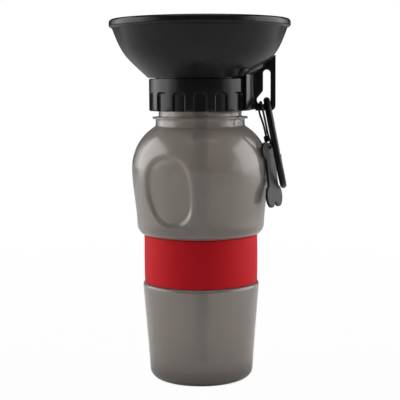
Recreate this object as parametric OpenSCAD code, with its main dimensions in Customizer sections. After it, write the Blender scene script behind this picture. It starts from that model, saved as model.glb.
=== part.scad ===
// Travel water bottle for dogs, with a drinking bowl on its screw collar.
// Millimetres. The origin is the middle of the base, +Z is up, -Y is the front
// and the hanging bracket points to +X.

/* [Bottle] */
// Radius of the bottle at its widest, in the upper body
bulge_r = 42; // [41:0.1:43.6]
// Wall of the blow-moulded bottle
wall = 1.5; // [1:0.1:2]
// Depth of the squeeze dents at their middle
dent_depth = 4.8; // [3:0.1:5.5]
// Direction of the front dent, from the front towards the left
dent_turn = 32; // [20:1:45]
// Inner radius of the neck
neck_bore_r = 23.4; // [22:0.1:24]

/* [Grip band] */
// Width of the silicone band
band_w = 29.3; // [24:0.1:29.5]
// Thickness of the silicone band
band_t = 1.8; // [1.2:0.1:2.2]

/* [Collar] */
// Outer radius of the screw collar
collar_r = 31.1; // [30:0.1:31.2]
// Number of grip flutes round the collar
flutes = 15; // [10:1:18]
// Depth of each flute
flute_d = 1.5; // [0.8:0.1:1.8]

/* [Bowl] */
// Outer radius of the bowl at its lip
rim_r = 55; // [54.6:0.1:56]
// Wall of the bowl
bowl_wall = 2.2; // [1.8:0.1:2.6]

/* [Carabiner] */
// Radius of the carabiner's rod
rod_r = 2; // [1.8:0.1:2.1]
// Lean of the hanging carabiner away from the bottle
clip_lean = 11.2; // [11:0.1:13]

/* [Tag] */
// Thickness of the bone-shaped tag
tag_t = 1.6; // [1:0.1:1.8]
// Turn of the tag's face from the front towards the right
tag_turn = 60; // [58:1:61]

/* [Hidden] */
$fn = 96;
eps = 0.01;

// Bottle heights
foot_r = 26.4;
foot_corner = 5.5;
punt_z = 1.6;
ledge_low = 60.1;
ledge_high = 89.7;
groove_r = 33.2;
lower_top_r = 35.8;
bulge_z = 130;
shoulder_r = [29, 29.7];
neck_base_r = 27.2;
neck_base_z = 156.3;
bead_z = 160.3;
bead_t = 1.1;
bead_r = 29.1;
neck_r = 25.35;
mouth_z = 178;
dent_z = 119;
dent_tilt = 3;
dent_r = 19.4;
dent_corner = 3.6;
dent_slope = [3.4, 9];
far = 60;

// Screw thread of the neck, 6 turns to the inch
pitch = 25.4 / 6;
thread_z = 165.4;
thread_turns = 1.3;
crest_r = 26.45;
collar_bore_r = 26.9;
collar_crest_r = 25.75;
thread_steps = 36;

// Washers, and the dip tube's low end with its notch
gasket_lip = 1.4;
washer_r = [13, 18];
tube_low = 8;
tube_wall = 1;
notch_r = 2.6;

// Collar and valve heights
collar_low = 165;
collar_top = 184.6;
deck_low = 180;
deck_top = 182.6;
recess_r = 27.5;
flute_w = 8;
flute_top = 176.2;
flute_corner = 2;
tower_r = 8;
tower_top = 196.6;
stem_r = 5.8;
stem_top = 199.2;
port_r = 1.6;
port_z = 190.4;
port_turn = 60;
water_bore_r = 3.4;
socket_r = 4.75;
boss_r = 7.2;
boss_low = 169;
ring_cord_r = 0.9;
ring_zs = [186.8, 194];
hub_gap = 0.05;

// Bowl
bowl_low = 185;
floor_t = 2.2;
hub_r = 11.5;
hub_top = 196.2;
flare = [[31.6, 185], [45, 197.5], [47.3, 198.6], [53.1, 214.8]];
lip_low = 215.1;
bowl_top = 220;
index_turn = 46;
index_at = [35.4, 0, 188.2];
index_slope = -44;
index_size = [5, 4.4, 2];
skirt_r = [25, 27.1];
skirt_low = 183.1;

// Hanging bracket: its plate, the saddle that joins it to the bowl round the
// collar, its upper slot and the round lobe for the cord
plate_t = 4;
plate_out = 46;
plate_low = 164.8;
plate_corner = 3;
saddle_r = [31.7, 33.4];
saddle_half = 35;
saddle_low = 165.6;
slot_x = 40.7;
slot_w = 5;
slot_low = 170.7;
slot_high = 187.3;
slot_split = 176.8;
lobe = [37.4, 171.4];
lobe_r = 2.8;
lobe_tangent = 125;

// Carabiner: a closed oval of rod that hangs from the slot's lower end
clip_top = [40.65, 0, 171];
clip_turn = -4;
bend_r = 15.6;
clip_len = 52.8;
gate_r = 1.9;
gate_top = 17.2;
gate_low = 33;
pin_at = 36;
pin_r = 0.7;
fork_w = 2;
tongue_t = 1.6;
tongue_w = 3.2;

// Tag and its cord
tag_hole = [41.25, -12.3, 142.6];
tag_lean = 6.9;
tag_hole_r = 1;
hole_from_top = 3.7;
bone_len = 39.4;
head_lobe = [5.5, 5.2];
head_side = 4.3;
foot_lobe = [5.3, 6.6];
foot_side = 4.7;
shaft_w = 12;
cord_r = 0.65;
cord_sides = 8;
cord_route = [
  [39.7, -10.3, 149.2], [39.3, -9.1, 151.8], [38.7, -7, 154.8], [38.1, -4, 157.4], [37.5, -0.8, 159.6],
  [36.9, 1.7, 161.6], [36.4, 3.1, 163.8], [36.2, 3.6, 166], [36.3, 3.4, 167.9], [36.6, 2.6, 169.5],
  [36.9, 0.9, 170], [37.1, -0.9, 170], [37.2, -2.6, 169.5], [37.4, -3.5, 167.8], [38.1, -3.8, 165.2],
  [39, -5.2, 160.8], [39.9, -7.8, 155.8], [40.7, -10.4, 151.2], [41.6, -12.3, 147.9],
  [42.4, -13.1, 146.2], [42.9, -13.3, 144.9], [42.7, -13.2, 143.6], [42, -12.85, 142.75],
  [41.25, -12.35, 142.5], [40.35, -11.8, 142.7], [39.6, -11.3, 143.5], [39.6, -11.2, 145],
  [40, -11.3, 146.9]
];
ferrule_r = 1.5;
ferrule_low = [40.1, -11.4, 146.6];
ferrule_high = [39.6, -10.2, 149.4];

// Points of an oval arc, from angle a to angle b
function oval_arc(c, rx, ry, a, b, n = 12) =
  [for (i = [0:n]) let (t = a + (b - a) * i / n) [c.x + rx * cos(t), c.y + ry * sin(t)]];

// Points of a cubic curve through the first and last of four control points
function curve(p, n = 12) =
  [for (i = [0:n]) let (t = i / n, s = 1 - t)
    s * s * s * p[0] + 3 * s * s * t * p[1] + 3 * s * t * t * p[2] + t * t * t * p[3]];

// The same points moved along the radius
function shift_r(points, d) = [for (p = points) [p.x + d, p.y]];

// Unit vector of v
function unit(v) = v / norm(v);

// Half outline of the bottle below the neck, moved inwards by d
function body_half(d) = concat(
  [[0, punt_z + 0.4 + d], [20.5 - d, punt_z - 0.4 + d], [22.2 - d, d]],
  oval_arc([foot_r, foot_corner], foot_corner - d, foot_corner - d, -90, 0, 8),
  shift_r(curve([[31.9, 5.6], [33, 22], [34.4, 40], [lower_top_r, 57.8]], 10), -d),
  oval_arc([lower_top_r - 1.6, ledge_low - 1.7], 1.6 - d * 0.9, 1.7 - d * 0.9, 10, 90, 5),
  [[groove_r - d, ledge_low - d], [groove_r - d, ledge_high + d]],
  oval_arc([34.3, 96.4], 4.7 - d, 6.7 - d, -90, -5, 8),
  shift_r(curve([[39.05, 97.6], [39.6, 108], [bulge_r - 0.1, 120], [bulge_r, bulge_z]], 10), -d),
  oval_arc([bulge_r - shoulder_r.x, bulge_z], shoulder_r.x - d, shoulder_r.y - d, 4, 59.5 + 2 * d, 14)
);

// Cutter of one squeeze dent, grown by d for the inside of the wall
module dent_cutter(turn, d) {
  floor_x = bulge_r - 1.5 - dent_depth - d;
  edge_r = dent_r + dent_slope.x + d;
  rotate([0, 0, turn])
    translate([0, 0, dent_z])
      rotate([0, 90 + dent_tilt, 0])
        rotate_extrude()
          polygon(concat(
            [[0, floor_x]],
            oval_arc([dent_r + d - dent_corner, floor_x + dent_corner], dent_corner, dent_corner, -90, -25, 6),
            [[edge_r, floor_x + dent_slope.y + d], [edge_r, far], [0, far]]
          ));
}

// Both dents: the front one that the thumb takes and one opposite for the fingers
module dents(d) {
  dent_cutter(-90 - dent_turn, d);
  dent_cutter(90 - dent_turn, d);
}

// Helical ridge with its root at root_r and its crest at tip_r
module ridge(root_r, tip_r, root_w, tip_w, z0, turns) {
  steps = round(turns * thread_steps);
  section = [[root_r, -root_w / 2], [tip_r, -tip_w / 2], [tip_r, tip_w / 2], [root_r, root_w / 2]];
  points = [for (i = [0:steps], s = section)
    let (a = 360 * i / thread_steps) [s.x * cos(a), s.x * sin(a), z0 + s.y + pitch * i / thread_steps]];
  inward = root_r > tip_r;
  sides = [for (i = [0:steps - 1], k = [0:3])
    let (a = 4 * i + k, b = 4 * i + (k + 1) % 4) [a, b, b + 4, a + 4]];
  tris = [for (q = sides, h = [0, 1]) h == 0 ? [q[0], q[1], q[2]] : [q[0], q[2], q[3]]];
  first = [[0, 3, 2], [0, 2, 1]];
  last = [for (f = first) [for (k = [2, 1, 0]) f[k] + 4 * steps]];
  faces = concat(tris, first, last);
  polyhedron(points, inward ? [for (f = faces) [f[2], f[1], f[0]]] : faces);
}

module bottle() {
  color([0.45, 0.42, 0.4, 0.6])
    difference() {
      union() {
        difference() {
          rotate_extrude() polygon(concat(body_half(0), [[0, 150]]));
          dents(0);
        }
        translate([0, 0, neck_base_z - 4]) cylinder(r = neck_base_r, h = bead_z - neck_base_z + 4.5);
        translate([0, 0, bead_z]) cylinder(r = bead_r, h = bead_t);
        translate([0, 0, bead_z]) cylinder(r = neck_r, h = mouth_z - bead_z);
        ridge(neck_r - 0.6, crest_r, 2.2, 1, thread_z, thread_turns);
      }
      difference() {
        rotate_extrude() polygon(concat(body_half(wall), [[0, 150]]));
        dents(wall);
      }
      translate([0, 0, 148]) cylinder(r = neck_bore_r, h = 40);
    }
}

module grip_band() {
  z0 = (ledge_low + ledge_high - band_w) / 2;
  color([0.72, 0.1, 0.14])
    translate([0, 0, z0])
      rotate_extrude()
        polygon([
          [groove_r, 0], [groove_r + band_t - 0.5, 0], [groove_r + band_t, 0.5],
          [groove_r + band_t, band_w - 0.5], [groove_r + band_t - 0.5, band_w], [groove_r, band_w]
        ]);
}

module neck_gasket() {
  color([0.85, 0.85, 0.85])
    translate([0, 0, mouth_z])
      difference() {
        cylinder(r = neck_r, h = deck_low - mouth_z);
        translate([0, 0, -1]) cylinder(r = neck_bore_r - gasket_lip, h = 4);
      }
}

// One grip flute, open at the bottom and with round upper corners
module flute() {
  low = collar_low - 5;
  arch_z = flute_top - flute_corner;
  arch_x = flute_w / 2 - flute_corner;
  translate([collar_r - flute_d, 0, 0])
    rotate([90, 0, 90])
      linear_extrude(4) {
        translate([-flute_w / 2, low]) square([flute_w, arch_z - low]);
        translate([-arch_x, arch_z - 1]) square([2 * arch_x, flute_corner + 1]);
        for (s = [-1, 1]) translate([s * arch_x, arch_z]) circle(flute_corner);
      }
}

// Radial water ports at the given turn
module ports(turn, from, to) {
  for (side = [0, 180])
    rotate([0, 0, turn + side])
      translate([from, 0, port_z])
        rotate([0, 90, 0]) cylinder(r = port_r, h = to - from, $fn = 32);
}

module collar() {
  color([0.12, 0.12, 0.13])
    difference() {
      union() {
        difference() {
          rotate_extrude()
            polygon(concat(
              [[collar_bore_r, collar_low]],
              oval_arc([collar_r - 1, collar_low + 1], 1, 1, -90, 0, 4),
              oval_arc([collar_r - 0.8, collar_top - 0.8], 0.8, 0.8, 0, 90, 4),
              [[recess_r, collar_top], [recess_r, deck_top], [tower_r, deck_top],
               [tower_r, tower_top], [stem_r, tower_top], [stem_r, stem_top], [0, stem_top],
               [0, boss_low], [boss_r, boss_low], [boss_r, deck_low], [collar_bore_r, deck_low]]
            ));
          for (i = [0:flutes - 1]) rotate([0, 0, 360 / flutes * i - 90]) flute();
        }
        ridge(collar_bore_r + 0.5, collar_crest_r, 2, 0.8, thread_z + pitch / 2, thread_turns - 0.1);
      }
      translate([0, 0, boss_low - 1]) cylinder(r = socket_r, h = deck_low - boss_low - 1);
      translate([0, 0, boss_low]) cylinder(r = water_bore_r, h = tower_top - 3 - boss_low);
      ports(port_turn, 0, tower_r + 1);
      for (z = ring_zs)
        translate([0, 0, z - ring_cord_r])
          difference() {
            cylinder(r = tower_r + 1, h = 2 * ring_cord_r);
            translate([0, 0, -1]) cylinder(r = tower_r - 2 * ring_cord_r + hub_gap, h = 4);
          }
    }
}

// Two seals between the tower and the bowl's hub
module tower_o_rings() {
  color([0.6, 0.1, 0.1])
    for (z = ring_zs)
      translate([0, 0, z])
        rotate_extrude()
          translate([tower_r - ring_cord_r + hub_gap, 0]) circle(ring_cord_r - 0.02, $fn = 24);
}

module bowl_washer() {
  color([0.85, 0.85, 0.85])
    translate([0, 0, deck_top])
      difference() {
        cylinder(r = washer_r[1], h = bowl_low - deck_top - 0.1);
        translate([0, 0, -1]) cylinder(r = washer_r[0], h = 5);
      }
}

// Domed cap that is pressed on the tower's stem and holds the bowl down
module valve_cap() {
  color([0.15, 0.15, 0.16])
    rotate_extrude()
      polygon(concat(
        [[stem_r, tower_top], [tower_r + 2.4, tower_top]],
        oval_arc([tower_r + 1.6, tower_top + 1], 1.4, 1, -50, 0, 3),
        [[tower_r + 3, tower_top + 1.6]],
        oval_arc([0, tower_top + 1.6], tower_r + 3, 4, 12, 90, 10),
        [[0, stem_top], [stem_r, stem_top]]
      ));
}

module dip_tube() {
  color([0.75, 0.74, 0.72, 0.5])
    difference() {
      translate([0, 0, tube_low]) cylinder(r = socket_r, h = deck_low - 2 - tube_low);
      cylinder(r = socket_r - tube_wall, h = bowl_top);
      translate([0, 0, tube_low])
        rotate([90, 0, 0]) translate([0, 0, -10]) cylinder(r = notch_r, h = 20, $fn = 32);
    }
}

// Half outline of the bowl's outside, up to the lip
function bowl_half() = concat([[0, bowl_low]], curve(flare, 16));

// Outside of the bowl and of its rolled lip as a closed half outline
function bowl_skin() = concat(
  bowl_half(),
  oval_arc([rim_r - 1.6, lip_low + 1.5], 1.6, 1.5, -70, 0, 4),
  oval_arc([rim_r - 1.8, bowl_top - 1.8], 1.8, 1.8, 0, 90, 6)
);

module bowl() {
  inner = shift_r(curve(flare, 16), -bowl_wall);
  color([0.11, 0.11, 0.12])
    difference() {
      union() {
        rotate_extrude()
          polygon(concat(
            bowl_skin(),
            [[rim_r - 3.2, bowl_top]],
            oval_arc([rim_r - 3.2, bowl_top - 1.3], 1.3, 1.3, 120, 180, 3),
            [for (i = [len(inner) - 1:-1:3]) inner[i]],
            [[30, bowl_low + floor_t], [hub_r, bowl_low + floor_t], [hub_r, hub_top - 0.6],
             [hub_r - 0.6, hub_top], [0, hub_top]]
          ));
        rotate_extrude()
          translate([skirt_r[0], skirt_low]) square([skirt_r[1] - skirt_r[0], bowl_low - skirt_low + 0.5]);
        // Small index block on the flare
        rotate([0, 0, index_turn - 90])
          translate(index_at)
            rotate([0, index_slope, 0]) cube(index_size, center = true);
      }
      translate([0, 0, bowl_low - 5]) cylinder(r = tower_r + hub_gap, h = 30);
      ports(0, tower_r - 1, hub_r + 2);
    }
}

// Outline of the keyhole: the long slot, and the lobe at its lower left
module keyhole() {
  r = slot_w / 2;
  translate([slot_x - r, slot_low]) square([slot_w, slot_high - slot_low]);
  translate([slot_x, slot_high]) circle(r);
  translate([slot_x, slot_low]) circle(r);
  translate(lobe) circle(lobe_r);
  polygon([
    [slot_x - r + eps, slot_split], lobe + lobe_r * [cos(lobe_tangent), sin(lobe_tangent)],
    lobe, [slot_x, slot_low], [slot_x, slot_split]
  ]);
}

// Outline of the bracket's plate, which ends inside the saddle
module plate_outline() {
  inner = saddle_r[1] - 0.5;
  difference() {
    union() {
      translate([inner, plate_low]) square([plate_out - plate_corner - inner, far]);
      translate([inner, plate_low + plate_corner]) square([plate_out - inner, far]);
      translate([plate_out - plate_corner, plate_low + plate_corner]) circle(plate_corner);
    }
    keyhole();
    translate([inner - 1, plate_low - 1]) square([1.9, 1.8]);
  }
}

module hang_bracket() {
  color([0.12, 0.12, 0.13])
    difference() {
      union() {
        translate([0, plate_t / 2, 0]) rotate([90, 0, 0]) linear_extrude(plate_t) plate_outline();
        rotate([0, 0, -saddle_half])
          rotate_extrude(angle = 2 * saddle_half)
            translate([saddle_r[0], saddle_low]) square([saddle_r[1] - saddle_r[0], 25]);
      }
      rotate_extrude() polygon(concat(curve(flare, 16), [[60, 214.8], [60, 240], [0, 240], [0, bowl_low]]));
    }
}

// Frame of the carabiner: Y across the loop, -Z along it
module clip_frame() {
  translate(clip_top) rotate([0, 0, clip_turn]) rotate([0, -clip_lean, 0]) children();
}

// Half round bend of rod, open downwards
module bend() {
  rotate([90, 0, 90]) rotate_extrude(angle = 180) translate([bend_r, 0]) circle(rod_r, $fn = 32);
}

module carabiner_body() {
  side_low = clip_len - bend_r;
  color([0.05, 0.05, 0.06])
    clip_frame()
      difference() {
        union() {
          translate([0, 0, -bend_r]) bend();
          translate([0, 0, -side_low]) mirror([0, 0, 1]) bend();
          translate([0, -bend_r, -side_low]) cylinder(r = rod_r, h = side_low - bend_r, $fn = 32);
          translate([0, bend_r, -gate_top + 0.4])
            cylinder(r = rod_r, h = gate_top - 0.4 - bend_r, $fn = 32);
          translate([0, bend_r, -side_low]) cylinder(r = rod_r, h = side_low - pin_at + 1.6, $fn = 32);
        }
        translate([-fork_w / 2, bend_r - 5, -pin_at - 2.2]) cube([fork_w, 10, 5]);
        translate([-5, bend_r, -pin_at]) rotate([0, 90, 0]) cylinder(r = pin_r, h = 10, $fn = 32);
      }
}

module carabiner_gate() {
  color([0.08, 0.08, 0.09])
    clip_frame()
      translate([0, bend_r, 0])
        difference() {
          union() {
            translate([0, 0, -gate_low]) cylinder(r = gate_r, h = gate_low - gate_top, $fn = 32);
            translate([-tongue_t / 2, -tongue_w / 2, -pin_at])
              cube([tongue_t, tongue_w, pin_at - gate_low + 1]);
            translate([-tongue_t / 2, 0, -pin_at])
              rotate([0, 90, 0]) cylinder(r = tongue_w / 2, h = tongue_t, $fn = 32);
          }
          translate([-5, 0, -pin_at]) rotate([0, 90, 0]) cylinder(r = pin_r + 0.05, h = 10, $fn = 32);
          translate([0, 0, -gate_low + 3]) cylinder(r = 1.2, h = 10, $fn = 32);
        }
}

module gate_pin() {
  length = 2 * rod_r + 0.6;
  color([0.7, 0.7, 0.7])
    clip_frame()
      translate([-length / 2, bend_r, -pin_at])
        rotate([0, 90, 0]) cylinder(r = pin_r, h = length, $fn = 32);
}

// Closing spring of the gate, hidden in the gate's bore
module gate_spring() {
  color([0.6, 0.6, 0.62])
    clip_frame()
      translate([0, bend_r, -gate_low + 3.1])
        difference() {
          cylinder(r = 1.1, h = 8, $fn = 32);
          translate([0, 0, -1]) cylinder(r = 0.7, h = 10, $fn = 32);
        }
}

// Directions and rings of the cord's tube
function run(i, p = cord_route) =
  i == 0 ? unit(p[1] - p[0]) : i == len(p) - 1 ? unit(p[i] - p[i - 1]) : unit(p[i + 1] - p[i - 1]);
function across(i) =
  i == 0 ? unit(cross(run(0), [0, 1, 0])) :
  let (a = across(i - 1), t = run(i)) unit(a - (a * t) * t);
function tube_ring(i) =
  let (t = run(i), a = across(i), b = cross(t, a))
    [for (k = [0:cord_sides - 1]) let (w = 360 * k / cord_sides)
      cord_route[i] + cord_r * (cos(w) * a + sin(w) * b)];

// Cord that carries the tag: a loop from the ferrule, round the bracket and
// through the tag's hole back to the ferrule
module tag_cord() {
  n = cord_sides;
  last = len(cord_route) - 1;
  points = [for (i = [0:last]) each tube_ring(i)];
  sides = [for (i = [0:last - 1], k = [0:n - 1], h = [0, 1])
    let (a = n * i + k, b = n * i + (k + 1) % n) h == 0 ? [a, a + n, b + n] : [a, b + n, b]];
  ends = [for (k = [1:n - 2], e = [0, 1]) e == 0 ? [0, k, k + 1] : [n * last, n * last + k + 1, n * last + k]];
  color([0.04, 0.04, 0.04]) polyhedron(points, concat(sides, ends));
}

module cord_ferrule() {
  rod = ferrule_high - ferrule_low;
  color([0.06, 0.06, 0.07])
    translate(ferrule_low)
      rotate([0, acos(rod.z / norm(rod)), atan2(rod.y, rod.x)])
        cylinder(r = ferrule_r, h = norm(rod), $fn = 32);
}

// Outline of the bone: a shaft with two lobes above and two longer ones below
module bone_outline() {
  head_y = bone_len / 2 - head_lobe.y;
  foot_y = bone_len / 2 - foot_lobe.y;
  translate([-shaft_w / 2, -foot_y]) square([shaft_w, foot_y + head_y]);
  for (side = [-1, 1]) {
    polygon(oval_arc([side * head_side, head_y], head_lobe.x, head_lobe.y, 0, 345, 46));
    polygon(oval_arc([side * foot_side, -foot_y], foot_lobe.x, foot_lobe.y, 0, 345, 46));
  }
}

module bone_tag() {
  color([0.36, 0.36, 0.38])
    translate(tag_hole)
      rotate([0, 0, tag_turn])
        rotate([90 - tag_lean, 0, 0])
          translate([0, hole_from_top - bone_len / 2, -tag_t / 2])
            difference() {
              linear_extrude(tag_t) bone_outline();
              translate([0, bone_len / 2 - hole_from_top, -1]) cylinder(r = tag_hole_r, h = 5, $fn = 32);
            }
}

bottle();
grip_band();
neck_gasket();
collar();
tower_o_rings();
bowl_washer();
valve_cap();
dip_tube();
bowl();
hang_bracket();
carabiner_body();
carabiner_gate();
gate_pin();
gate_spring();
tag_cord();
cord_ferrule();
bone_tag();
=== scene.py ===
# %% [markdown]
# # A dog's travel water bottle
# The object is a squeeze bottle of smoke-grey plastic. It has a red silicone grip, a black
# screw collar, a flared drinking bowl, a carabiner and a bone-shaped tag on a cord. The packed
# model holds its construction. This notebook dresses it: each step models one visible piece
# in finer form, or gives a finish to a piece whose form is already right.

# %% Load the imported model
import math

import bmesh
import bpy
from mathutils import Matrix, Vector


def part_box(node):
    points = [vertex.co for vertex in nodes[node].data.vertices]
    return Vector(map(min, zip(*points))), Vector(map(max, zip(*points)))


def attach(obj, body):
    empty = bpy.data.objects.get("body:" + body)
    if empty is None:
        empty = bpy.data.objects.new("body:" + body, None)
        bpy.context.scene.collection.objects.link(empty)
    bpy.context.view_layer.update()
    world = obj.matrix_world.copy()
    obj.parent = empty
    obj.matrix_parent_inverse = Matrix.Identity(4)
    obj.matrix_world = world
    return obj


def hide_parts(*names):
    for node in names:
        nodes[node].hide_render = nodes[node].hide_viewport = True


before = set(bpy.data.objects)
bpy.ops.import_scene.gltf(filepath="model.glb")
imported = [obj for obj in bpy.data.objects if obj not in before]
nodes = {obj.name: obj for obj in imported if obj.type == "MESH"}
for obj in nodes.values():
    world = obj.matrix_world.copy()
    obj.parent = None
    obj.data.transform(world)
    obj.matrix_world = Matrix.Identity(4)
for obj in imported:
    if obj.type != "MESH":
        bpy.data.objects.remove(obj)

MM = 0.001
SHARP = math.radians(35)
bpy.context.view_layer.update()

# %% [markdown]
# ## Camera
# The photograph was taken a little above the middle of the bottle, with a long lens, so the
# bottle's sides hardly converge. The lip of the bowl is a touch above the lens and bends up,
# and the red band is below it and bends down. That is enough to find the place and the pitch.
# The bowl stands a little further left than the foot, so the camera is also rolled by a hair.

# %% Camera
CAMERA_PLACE = (0, -648 * MM, 180 * MM)
CAMERA_PITCH, CAMERA_ROLL = math.radians(6.16), math.radians(0.33)
LENS_MM = 95.1

camera = bpy.data.objects.new("camera", bpy.data.cameras.new("camera"))
bpy.context.scene.collection.objects.link(camera)
camera.location = CAMERA_PLACE
camera.rotation_euler = (math.pi / 2 - CAMERA_PITCH, CAMERA_ROLL, 0)
camera.data.lens = LENS_MM
bpy.context.scene.camera = camera
print("camera:", [round(x, 4) for x in camera.location])

# %% [markdown]
# ## Outlines and turned pieces
# Most pieces here are round, so they are turned: a half outline is revolved about the upright
# axis. An outline is a list of (radius, height) in millimetres. Moulded plastic has no sharp
# corner anywhere, so a helper rounds corners, and another splits long stretches, because a
# dent or a flute can only be pressed into a wall that has enough points.

# %% Helpers for outlines
def arc(centre, radii, start, end, count=8):
    """Points on an oval arc between two angles in degrees."""
    steps = [math.radians(start + (end - start) * i / count) for i in range(count + 1)]
    return [(centre[0] + radii[0] * math.cos(t), centre[1] + radii[1] * math.sin(t)) for t in steps]


def bezier(a, b, c, d, count=16):
    """Points on the cubic curve of four control points."""
    points = []
    for i in range(count + 1):
        t = i / count
        weights = ((1 - t) ** 3, 3 * (1 - t) ** 2 * t, 3 * (1 - t) * t * t, t ** 3)
        points.append(tuple(sum(w * p[k] for w, p in zip(weights, (a, b, c, d))) for k in (0, 1)))
    return points


def rounded(points, count=4):
    """Points as (x, y) or (x, y, size), where a size rounds that corner over so many mm."""
    path = []
    for i, point in enumerate(points):
        if len(point) == 2 or i in (0, len(points) - 1):
            path.append(tuple(point[:2]))
            continue
        corner = Vector(point[:2])
        ends = []
        for other in (points[i - 1], points[i + 1]):
            way = Vector(other[:2]) - corner
            ends.append(corner + way * min(point[2] / way.length, 0.48))
        for k in range(count + 1):
            t = k / count
            spot = (1 - t) ** 2 * ends[0] + 2 * t * (1 - t) * corner + t * t * ends[1]
            path.append(tuple(spot))
    return path


def split_long(path, step):
    """The same path with points no further apart than step."""
    result = [path[0]]
    for a, b in zip(path, path[1:]):
        parts = max(1, math.ceil(math.dist(a, b) / step))
        result += [tuple(a[k] + (b[k] - a[k]) * i / parts for k in (0, 1)) for i in range(1, parts + 1)]
    return result


def smooth_step(low, high, value):
    """0 below low, 1 above high, and smooth between them."""
    t = min(max((value - low) / (high - low), 0), 1)
    return t * t * (3 - 2 * t)


print("outline helpers: arc, bezier, rounded, split_long, smooth_step")

# %% Helpers for meshes
def add_mesh(name, vertices, faces):
    """A smooth mesh object from points in millimetres, with all faces outwards."""
    mesh = bpy.data.meshes.new(name)
    mesh.from_pydata([tuple(c * MM for c in v) for v in vertices], [], faces)
    solid = bmesh.new()
    solid.from_mesh(mesh)
    bmesh.ops.remove_doubles(solid, verts=solid.verts, dist=0.0005 * MM)
    bmesh.ops.recalc_face_normals(solid, faces=solid.faces)
    solid.to_mesh(mesh)
    solid.free()
    mesh.shade_smooth()
    piece = bpy.data.objects.new(name, mesh)
    bpy.context.scene.collection.objects.link(piece)
    return piece


def turned(name, outline, angles, shape=None):
    """Revolves a closed half outline.

    The angles are in degrees from the front towards the right. The function shape, if there
    is one, gives the radius at a point's own radius, height and angle.
    """
    vertices = []
    for r, z in outline:
        for angle in angles:
            radius = shape(r, z, angle) if shape and r > 0 else r
            turn = math.radians(angle)
            vertices.append((radius * math.sin(turn), -radius * math.cos(turn), z))
    n, rings = len(angles), len(outline)
    faces = []
    for i in range(rings - 1 if outline[0][0] == outline[-1][0] == 0 else rings):
        low, high = i * n, (i + 1) % rings * n
        faces += [(low + k, low + (k + 1) % n, high + (k + 1) % n, high + k) for k in range(n)]
    return add_mesh(name, vertices, faces)


def even_angles(count):
    """Angles all the way round, a whole number of steps."""
    return [360 * i / count - 180 for i in range(count)]


def dress(piece, body, slot, *replaced):
    """Sets what a piece rides on and hides the imported parts it stands for. The slot is not used."""
    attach(piece, body)
    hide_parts(*replaced)
    low, high = [Vector(c) for c in (piece.bound_box[0], piece.bound_box[6])]
    print(piece.name, "points:", len(getattr(piece.data, "vertices", [])), "size in mm:",
          [round(x / MM, 1) for x in high - low])


print("mesh helpers: add_mesh, turned, even_angles, dress")

# %% [markdown]
# ## Tag cord
# A thin black cord carries the tag. It starts in a small ferrule, climbs behind the hanging
# plate, comes through the plate's round lobe, goes down in front and through the hole of the
# tag, and ends in the ferrule again. Its points are listed one by one, a smooth curve is laid
# through them, and a ring that moves along that curve draws the tube.

# %% A bar along a line
def swept(name, centre, radii, frame_matrix, sides=28):
    """A round bar along a line, with a radius for each of its points."""
    points = [Vector(p) for p in centre]
    vertices, faces = [], []
    side = Vector((1, 0, 0))
    for i, p in enumerate(points):
        run = (points[min(i + 1, len(points) - 1)] - points[max(i - 1, 0)]).normalized()
        side = (side - side.dot(run) * run).normalized()
        other = run.cross(side)
        for k in range(sides):
            t = 2 * math.pi * k / sides
            vertices.append(frame_matrix @ (p + radii[i] * (math.cos(t) * side + math.sin(t) * other)))
    for i in range(len(points) - 1):
        low, high = i * sides, (i + 1) * sides
        faces += [(low + k, low + (k + 1) % sides, high + (k + 1) % sides, high + k) for k in range(sides)]
    faces += [tuple(range(sides)), tuple(range(len(vertices) - sides, len(vertices)))]
    return add_mesh(name, vertices, faces)


def domed(line, radius, edge):
    """Centre line and radii of a bar whose two ends are rounded over the length edge."""
    first, last = Vector(line[0]), Vector(line[-1])
    into_first = (Vector(line[1]) - first).normalized()
    into_last = (Vector(line[-2]) - last).normalized()
    steps = [math.radians(a) for a in (0, 20, 40, 60, 75, 90)]
    start = [first + into_first * edge * (1 - math.cos(t)) for t in reversed(steps)]
    end = [last + into_last * edge * (1 - math.cos(t)) for t in steps]
    sizes = [radius - edge + edge * math.sin(t) for t in steps]
    centre = start[::-1] + [Vector(p) for p in line[1:-1]] + end[::-1]
    return centre, sizes + [radius] * (len(line) - 2) + sizes[::-1]


def smooth_line(knots, steps):
    """More points on a smooth curve that passes through every knot."""
    line = []
    for i in range(len(knots) - 1):
        near = [min(max(k, 0), len(knots) - 1) for k in (i - 1, i, i + 1, i + 2)]
        before, a, b, after = (Vector(knots[k]) for k in near)
        for k in range(steps):
            t = k / steps
            line.append(0.5 * (2 * a + (b - before) * t + (2 * before - 5 * a + 4 * b - after) * t * t
                               + (3 * a - before - 3 * b + after) * t ** 3))
    return line + [Vector(knots[-1])]


print("bar helpers: swept, domed, smooth_line")

# %% Tag cord
CORD_R = 0.65
CORD_ROUTE = [
    (39.7, -10.3, 149.2), (39.3, -9.1, 151.8), (38.7, -7, 154.8), (38.1, -4, 157.4), (37.5, -0.8, 159.6),
    (36.9, 1.7, 161.6), (36.4, 3.1, 163.8), (36.2, 3.6, 166), (36.3, 3.4, 167.9), (36.6, 2.6, 169.5),
    (36.9, 0.9, 170), (37.1, -0.9, 170), (37.2, -2.6, 169.5), (37.4, -3.5, 167.8), (38.1, -3.8, 165.2),
    (39, -5.2, 160.8), (39.9, -7.8, 155.8), (40.7, -10.4, 151.2), (41.6, -12.3, 147.9),
    (42.4, -13.1, 146.2), (42.9, -13.3, 144.9), (42.7, -13.2, 143.6), (42, -12.85, 142.75),
    (41.25, -12.35, 142.5), (40.35, -11.8, 142.7), (39.6, -11.3, 143.5), (39.6, -11.2, 145),
    (40, -11.3, 146.9),
]
CORD_STEPS, CORD_SIDES = 6, 16
cord_line = smooth_line(CORD_ROUTE, CORD_STEPS)
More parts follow.
